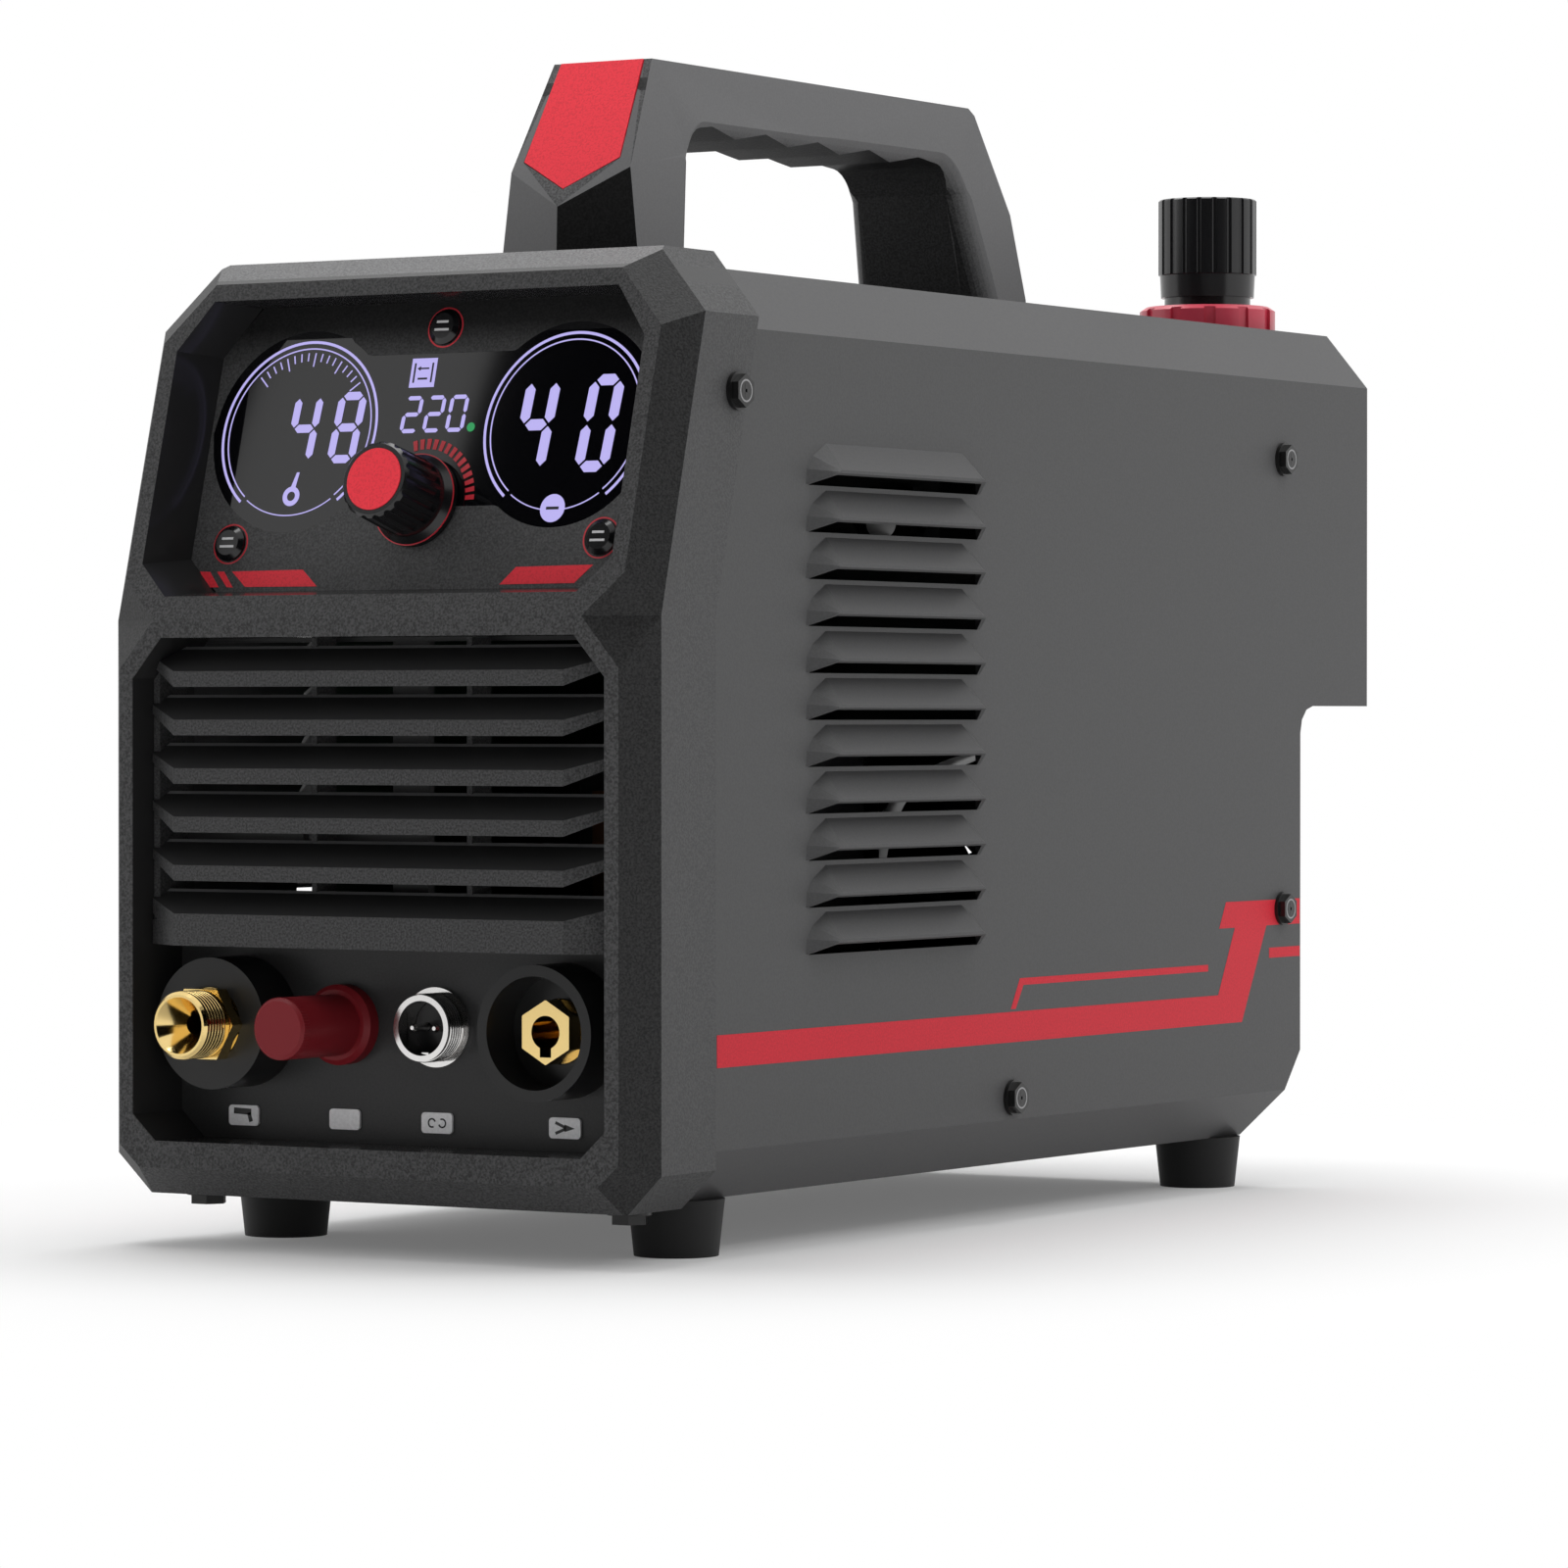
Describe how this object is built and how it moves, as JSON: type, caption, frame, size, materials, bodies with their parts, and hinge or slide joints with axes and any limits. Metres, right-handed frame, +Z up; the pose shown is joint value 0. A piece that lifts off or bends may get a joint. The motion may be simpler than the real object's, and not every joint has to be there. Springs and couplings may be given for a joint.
{
  "type": "plasma cutter unit",
  "caption": "Portable inverter plasma cutter unit: moulded front bezel with display and sockets, louvred cover with rear hood, carrying handle, air regulator and rubber feet.",
  "frame": {"origin": "on the floor, at the middle of the bounding box", "axes": "+Z up, -Y towards the sockets and display, +Y towards the hood, +X to the right seen from behind the front"},
  "size_m": [0.165, 0.3892, 0.295],
  "materials": {
    "bezel_plastic": "fine grained",
    "panel_plastic": "satin",
    "cover_paint": "fine textured powder coat",
    "display_glass": "glossy dark tinted",
    "gloss_black": "glossy",
    "dark_plastic": "satin",
    "handle_plastic": "fine grained",
    "red_plastic": "semi gloss",
    "post_plastic": "semi gloss",
    "red_metal": "anodised",
    "brass": "polished",
    "chrome": "polished",
    "zinc": "zinc plated",
    "black_steel": "black oxide",
    "rubber": "matte",
    "board": "solder mask",
    "aluminium": "mill finish",
    "ferrite": "matte",
    "winding": "enamelled copper",
    "bowl": "clear polycarbonate",
    "knob_rubber": "satin"
  },
  "bodies": {
    "unit": {"front_bezel": "bezel_plastic", "front_grille": "panel_plastic", "socket_panel": "panel_plastic", "display_panel": "dark_plastic", "display_glass": "display_glass", "top_cover": "cover_paint", "base_tray": "cover_paint", "rear_panel": "cover_paint", "handle_body": "handle_plastic", "handle_insert": "red_plastic", "handle_bolts": "black_steel", "side_screws": "black_steel", "front_bolts": "black_steel", "foot_front_left": "rubber", "foot_front_right": "rubber", "foot_rear_left": "rubber", "foot_rear_right": "rubber", "foot_screws": "zinc", "torch_socket_housing": "dark_plastic", "torch_socket_fitting": "brass", "socket_nuts": "dark_plastic", "pilot_post_collar": "post_plastic", "pilot_post_stud": "brass", "trigger_socket_shell": "chrome", "trigger_socket_insert": "dark_plastic", "trigger_socket_pins": "chrome", "trigger_socket_nut": "chrome", "earth_socket_housing": "dark_plastic", "earth_socket_contact": "brass", "socket_plates": "zinc", "display_board": "board", "button_switches": "dark_plastic", "encoder_body": "zinc", "encoder_nut": "zinc", "regulator_body": "gloss_black", "regulator_ring_nut": "red_metal", "filter_bowl": "bowl", "air_inlet_fitting": "brass", "mains_gland": "dark_plastic", "gland_nut": "dark_plastic", "power_switch_housing": "dark_plastic", "fan_frame": "dark_plastic", "fan_guard": "zinc", "fan_screws": "zinc", "power_board": "board", "heatsinks": "aluminium", "transformer_core": "ferrite", "transformer_winding": "winding", "capacitors": "dark_plastic", "solenoid_valve": "brass"},
    "control_knob_unit": {"control_knob": "knob_rubber", "knob_cap": "red_plastic", "encoder_shaft": "zinc"},
    "top_button": {"button_top": "gloss_black"},
    "left_button": {"button_left": "gloss_black"},
    "right_button": {"button_right": "gloss_black"},
    "pressure_knob": {"regulator_knob": "knob_rubber"},
    "switch_rocker": {"power_switch_rocker": "red_plastic"},
    "fan_wheel": {"fan_rotor": "dark_plastic"},
    "post_cap": {"pilot_post_cap": "post_plastic"}
  },
  "joints": [
    {"name": "control_knob_turn", "type": "hinge", "parent": "unit", "child": "control_knob_unit", "pos_m": [0, -0.17805, 0.18546], "axis": [0, -0.9659, 0.2588], "continuous": true},
    {"name": "top_button_press", "type": "slide", "parent": "unit", "child": "top_button", "axis": [0, 0.9659, -0.2588], "range_m": [0, 0.001], "stiffness_N_per_m": 400},
    {"name": "left_button_press", "type": "slide", "parent": "unit", "child": "left_button", "axis": [0, 0.9659, -0.2588], "range_m": [0, 0.001], "stiffness_N_per_m": 400},
    {"name": "right_button_press", "type": "slide", "parent": "unit", "child": "right_button", "axis": [0, 0.9659, -0.2588], "range_m": [0, 0.001], "stiffness_N_per_m": 400},
    {"name": "pressure_knob_turn", "type": "hinge", "parent": "unit", "child": "pressure_knob", "pos_m": [0.04, 0.1679, 0.26], "axis": [0, 0, 1], "continuous": true},
    {"name": "power_switch_rock", "type": "hinge", "parent": "unit", "child": "switch_rocker", "pos_m": [-0.008, 0.1368, 0.185], "axis": [1, 0, 0], "range_deg": [0, 16]},
    {"name": "fan_spin", "type": "hinge", "parent": "unit", "child": "fan_wheel", "pos_m": [0, 0.1253, 0.076], "axis": [0, 1, 0], "continuous": true},
    {"name": "post_cap_turn", "type": "hinge", "parent": "unit", "child": "post_cap", "pos_m": [-0.0193, -0.1867, 0.0548], "axis": [0, -1, 0], "continuous": true}
  ]
}
